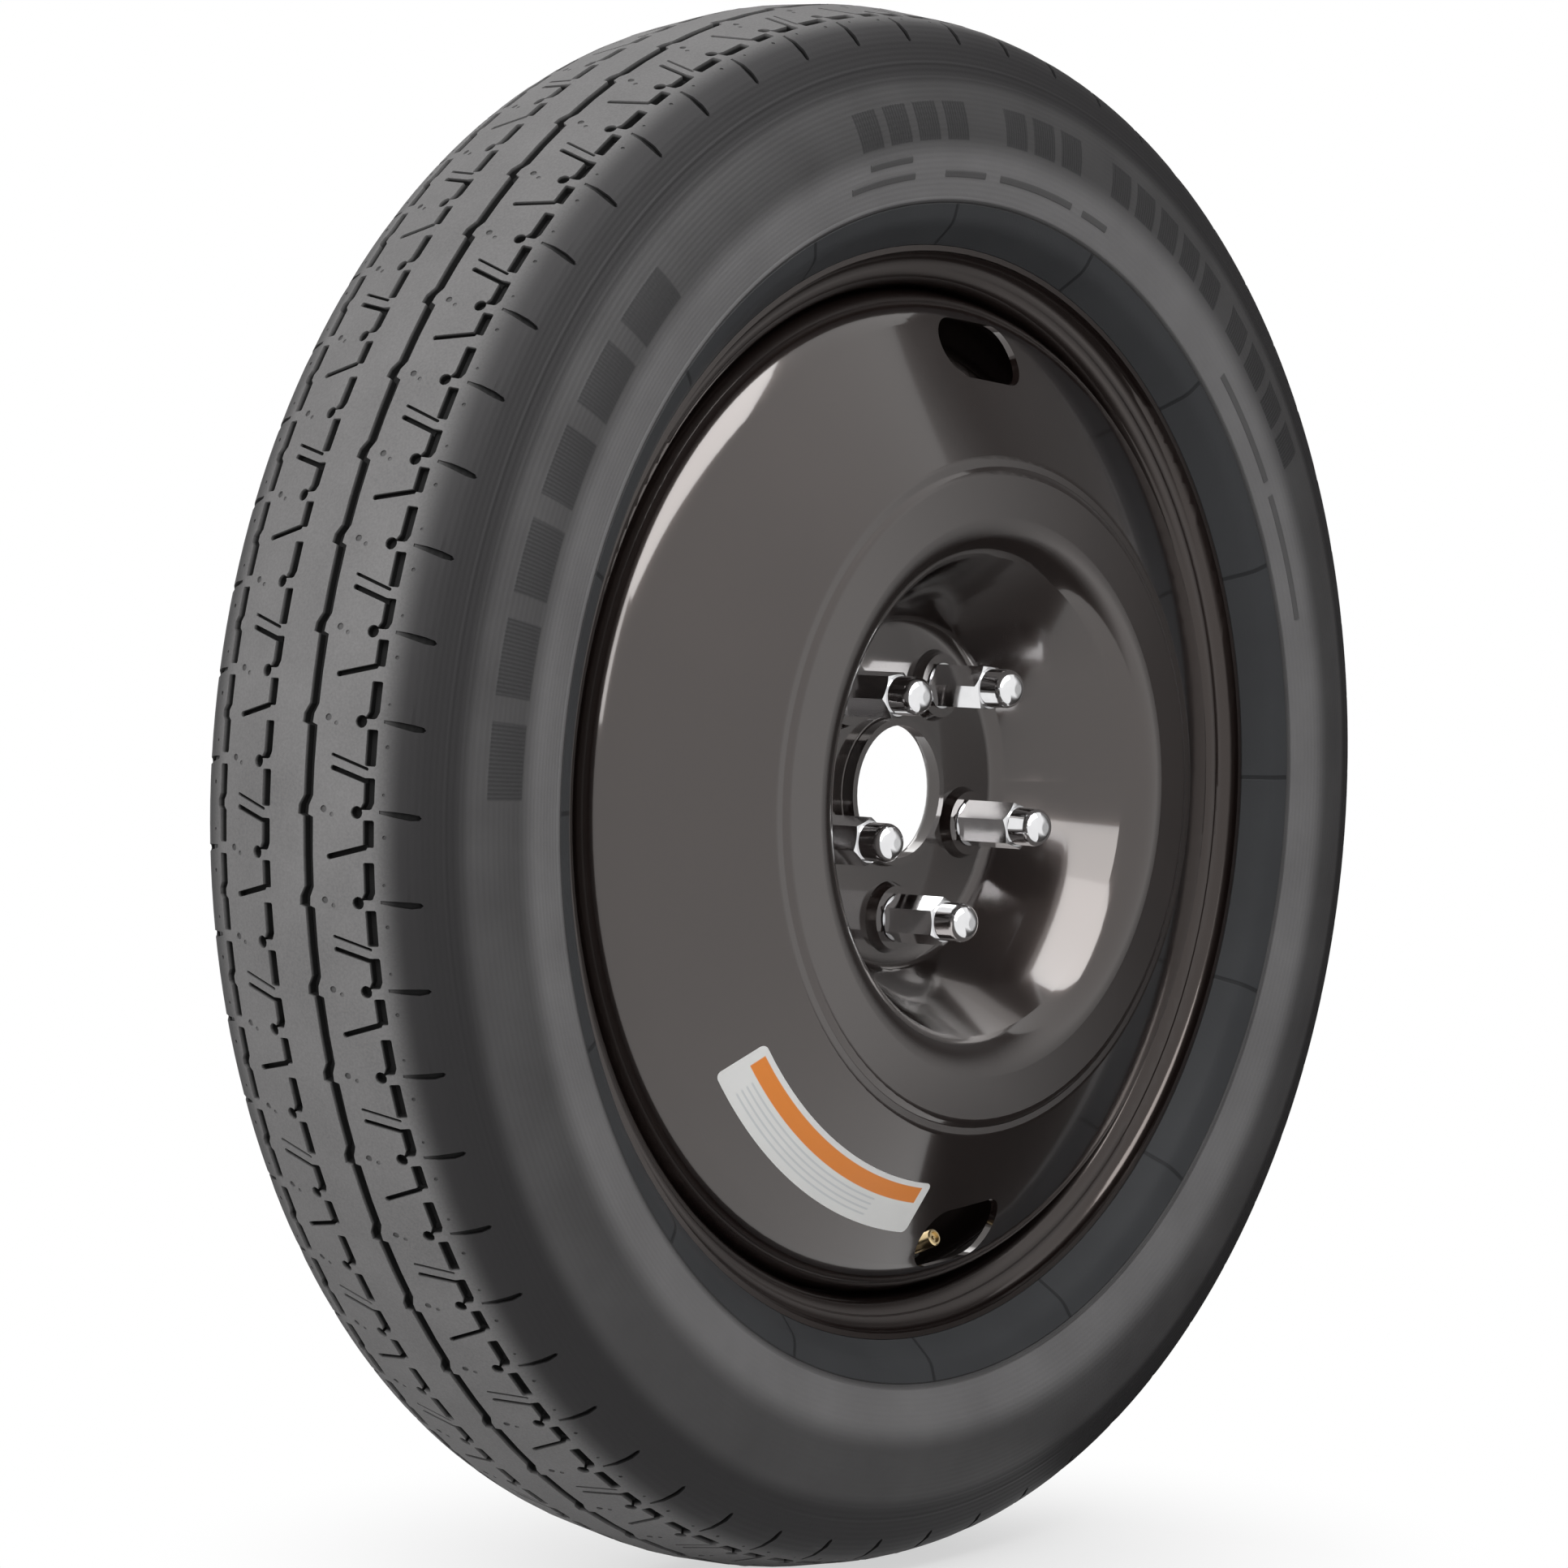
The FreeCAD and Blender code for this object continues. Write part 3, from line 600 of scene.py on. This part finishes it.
bmesh.ops.recalc_face_normals(skin, faces=skin.faces)
for face in skin.faces:
    face.smooth = True
    face.material_index = 0
tyre_mesh.materials.clear()
tyre_mesh.materials.append(rubber)
skin.to_mesh(tyre_mesh)
skin.free()
tyre_mesh.set_sharp_from_angle(angle=math.radians(32))
tyre = put_in_scene("tyre_skin", tyre_mesh)
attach(tyre, "wheel")
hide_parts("tyre")


# Wheel nuts: closed-end steel nuts with a hexagon and a domed cap, plated with chrome.
# Each is screwed on until its cone sits in its seat in the disc.
chrome, chrome_shader, place = new_finish("nut_chrome")
chrome_shader.inputs["Metallic"].default_value = 1.0
smudge = place.noise(160.0, 4.0)
smudge.mix((0.72, 0.72, 0.73, 1), (0.86, 0.86, 0.87, 1)).into(chrome_shader, "Base Color")
(0.05 + smudge * 0.10).into(chrome_shader, "Roughness")
wear(chrome, "wheel_nuts")


# Sticker: a curved strip of printed film, glued on the disc's face. It is white, with a plain
# orange band along its inner edge and fine grey rules under the band.
film_white, film_faded = (0.93, 0.93, 0.91, 1), (0.86, 0.86, 0.85, 1)
film_orange = (0.90, 0.27, 0.03, 1)
rule_grey = (0.25, 0.30, 0.36, 1)
rule_radii = (0.1858, 0.1882, 0.1906, 0.1930)
rule_half, rule_edge = 0.0003, 0.0005
film, film_shader, place = new_finish("sticker_film")
x, _, z = place.axes()
radius = x.math("SQRT", x * x + z * z)
angle = x.math("ARCTAN2", z, x)
fade = place.noise(60.0, 3.0)
orange = radius.between(0.1762, 0.1766, 0.1832, 0.1836) * angle.between(-2.510, -2.506, -1.752, -1.748)
rules = 0.0
for rule in rule_radii:
    rules = rules + radius.between(rule - rule_edge, rule - rule_half, rule + rule_half, rule + rule_edge)
rules = rules * angle.between(-2.47, -2.46, -1.90, -1.89)
ground = (rules * 0.30).mix(fade.mix(film_faded, film_white), rule_grey)
orange.mix(ground, film_orange).into(film_shader, "Base Color")
(0.35 + fade * 0.15).into(film_shader, "Roughness")
wear(film, "label")


# Valve: a moulded rubber body with a brass tube moulded into it. It is pulled into the hole in
# the rim's well from inside until its groove snaps round the edge.
valve_gum, gum_shader, place = new_finish("valve_rubber")
bloom = place.noise(220.0, 3.0)
bloom.mix((0.018, 0.018, 0.018, 1), (0.040, 0.039, 0.038, 1)).into(gum_shader, "Base Color")
(0.50 + bloom * 0.2).into(gum_shader, "Roughness")
wear(valve_gum, "valve_rubber")

brass, brass_shader, place = new_finish("valve_brass")
brass_shader.inputs["Metallic"].default_value = 1.0
tarnish = place.noise(500.0, 3.0)
tarnish.mix((0.80, 0.62, 0.34, 1), (0.66, 0.52, 0.30, 1)).into(brass_shader, "Base Color")
(0.22 + tarnish * 0.2).into(brass_shader, "Roughness")
wear(brass, "valve_stem")


# Valve core: a turned brass plug and barrel, screwed into the stem, with a red gasket round the
# barrel. A pin with a sealing cup slides in them, and a fine steel spring holds the cup shut.
wear(brass, "core_plug", "core_barrel", "core_pin")
wear(valve_gum, "core_cup_seal")

gasket_gum, gasket_shader, place = new_finish("gasket_rubber")
bloom = place.noise(600.0, 3.0)
bloom.mix((0.24, 0.035, 0.03, 1), (0.33, 0.06, 0.05, 1)).into(gasket_shader, "Base Color")
(0.5 + bloom * 0.2).into(gasket_shader, "Roughness")
wear(gasket_gum, "core_gasket")

spring_wire, wire_shader, place = new_finish("spring_wire")
wire_shader.inputs["Metallic"].default_value = 1.0
drawn = place.noise(1500.0, 2.0)
drawn.mix((0.50, 0.50, 0.51, 1), (0.66, 0.66, 0.67, 1)).into(wire_shader, "Base Color")
(0.25 + drawn * 0.15).into(wire_shader, "Roughness")
coil_mesh = node["core_spring"].data.copy()
coil_mesh.materials.clear()
coil_mesh.materials.append(spring_wire)
coil = bmesh.new()
coil.from_mesh(coil_mesh)
bmesh.ops.remove_doubles(coil, verts=coil.verts, dist=1e-7)
coil.to_mesh(coil_mesh)
coil.free()
spring = put_in_scene("spring_coil", coil_mesh)
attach(spring, "wheel")
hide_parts("core_spring")
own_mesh(spring)


# Studio: a pale floor under the tyre that runs out to white, three soft boxes, a camera with a
# long lens, and a dark cloth beside the wheel and a white card over it that only gloss sees.
floor_half = 6.0
floor_level = -0.3545
white = (1, 1, 1, 1)


def sheet(name, corners, faces):
    """A flat studio piece."""
    mesh = bpy.data.meshes.new(name)
    mesh.from_pydata(corners, [], faces)
    return put_in_scene(name, mesh)


def shows_backdrop(start):
    """1 on rays from the camera, from gloss and through glass, which all see the backdrop white."""
    path = start.node("ShaderNodeLightPath")
    others = [path.twin(name) for name in ("Is Glossy Ray", "Is Transmission Ray")]
    return path.math("MAXIMUM", path, path.math("MAXIMUM", *others))


floor = sheet("floor", [(-floor_half, -floor_half, floor_level), (floor_half, -floor_half, floor_level),
                        (floor_half, floor_half, floor_level), (-floor_half, floor_half, floor_level)],
              [(0, 1, 2, 3)])
foot = (0.0, 0.001 * wheel_offset, floor_level)
paper, paper_shader, place = new_finish("floor_paper")
paper_shader.inputs["Roughness"].default_value = 0.9
offset = place.node("ShaderNodeVectorMath", {"operation": "SUBTRACT"}, {0: place, 1: foot})
from_foot = place.node("ShaderNodeVectorMath", {"operation": "LENGTH"}, {0: offset}, 1)
place.noise(3.0).mix((0.78, 0.78, 0.78, 1), (0.80, 0.80, 0.80, 1)).into(paper_shader, "Base Color")
glow_share = shows_backdrop(place) * (0.60 + 0.40 * from_foot.step(0.03, 0.32))
glow = place.node("ShaderNodeEmission", {}, {"Color": white, "Strength": 1.0})
lit = Shade(paper.node_tree, paper_shader.outputs[0])
blend = place.node("ShaderNodeMixShader", {}, {0: glow_share, 1: lit, 2: glow})
blend.into(paper.node_tree.nodes["Material Output"], "Surface")
floor.data.materials.append(paper)

room_light = 0.29
room_slope = 0.18
world = bpy.data.worlds.new("studio")
world.use_nodes = True
bpy.context.scene.world = world
backdrop = world.node_tree.nodes["Background"]
room = Shade(world.node_tree, world.node_tree.nodes.new("ShaderNodeTexCoord").outputs["Generated"])
seen = shows_backdrop(room)
(seen + (1.0 - seen) * (room_light - room.axes()[0] * room_slope)).into(backdrop, "Strength")
backdrop.inputs["Color"].default_value = white

cloth_left, cloth_right = 0.15, 0.9
cloth_front, cloth_back = -1.1, 1.3
cloth_low, cloth_high = -0.352, 0.95
felt_dark, felt_dusty = (0.02, 0.017, 0.016, 1), (0.04, 0.035, 0.033, 1)
felt_far = (0.20, 0.18, 0.175, 1)
cloth = sheet("flag", [(cloth_left, cloth_front, cloth_low), (cloth_left, cloth_back, cloth_low),
                       (cloth_right, cloth_front, cloth_low), (cloth_right, cloth_back, cloth_low),
                       (cloth_right, cloth_front, cloth_high), (cloth_right, cloth_back, cloth_high)],
              [(0, 2, 3, 1), (2, 4, 5, 3)])
felt, felt_shader, place = new_finish("flag_felt")
y = place.axes()[1]
nap = place.noise(40.0).mix(felt_dark, felt_dusty)
y.step(-0.1, 0.4).mix(nap, felt_far).into(felt_shader, "Base Color")
y.step(cloth_front, -0.35).into(felt_shader, "Alpha")
cloth.data.materials.append(felt)

card_left, card_right = -1.4, 0.25
card_front, card_back = -1.15, -0.1
card_height = 1.3
card = sheet("card", [(card_left, card_front, card_height), (card_right, card_front, card_height),
                      (card_right, card_back, card_height), (card_left, card_back, card_height)],
             [(0, 1, 2, 3)])
card_white, _, place = new_finish("card_white")
glow = place.node("ShaderNodeEmission", {}, {"Color": white, "Strength": 6.5})
glow.into(card_white.node_tree.nodes["Material Output"], "Surface")
card.data.materials.append(card_white)
for panel in (cloth, card):
    panel.visible_camera = False
    panel.visible_diffuse = False
    panel.visible_shadow = False


def toward(azimuth, elevation):
    """Direction from the wheel, in degrees; azimuth 0 is in front of its outboard face."""
    a, e = math.radians(azimuth), math.radians(elevation)
    return Vector((math.sin(a) * math.cos(e), -math.cos(a) * math.cos(e), math.sin(e)))


for name, azimuth, elevation, reach, width, height, radiance in (
        ("left_box", -80, 32, 2.1, 1.5, 1.3, 4.1),
        ("top_box", 6, 55, 2.0, 1.9, 0.65, 2.7),
        ("back_box", 150, 38, 2.4, 1.4, 1.2, 2.4)):
    lamp = bpy.data.lights.new(name, "AREA")
    lamp.shape = "RECTANGLE"
    lamp.size = width
    lamp.size_y = height
    lamp.energy = radiance * math.pi * width * height
    holder = put_in_scene(name, lamp)
    away = toward(azimuth, elevation)
    holder.location = away * reach
    holder.rotation_euler = away.to_track_quat("Z", "Y").to_euler()
    holder.visible_camera = False
    holder.visible_glossy = name != "top_box"

camera_azimuth = -50.957
camera_elevation = 4.387
camera_reach = 3.3
camera_left = 0.062600
camera_rise = 0.004160
aim = Vector((0, -0.0235, 0))
lens = bpy.data.cameras.new("camera")
lens.sensor_fit = "HORIZONTAL"
lens.sensor_width = 36.0
lens.lens = 168.5
lens.clip_end = 50.0
camera = put_in_scene("camera", lens)
away = toward(camera_azimuth, camera_elevation)
right = toward(camera_azimuth + 90, 0)
up = away.cross(right)
turned = Matrix((right, up, away)).transposed().to_4x4()
turned.translation = aim + away * camera_reach - right * camera_left + up * camera_rise
camera.matrix_world = turned
bpy.context.scene.camera = camera
bpy.context.scene.view_settings.view_transform = "Standard"
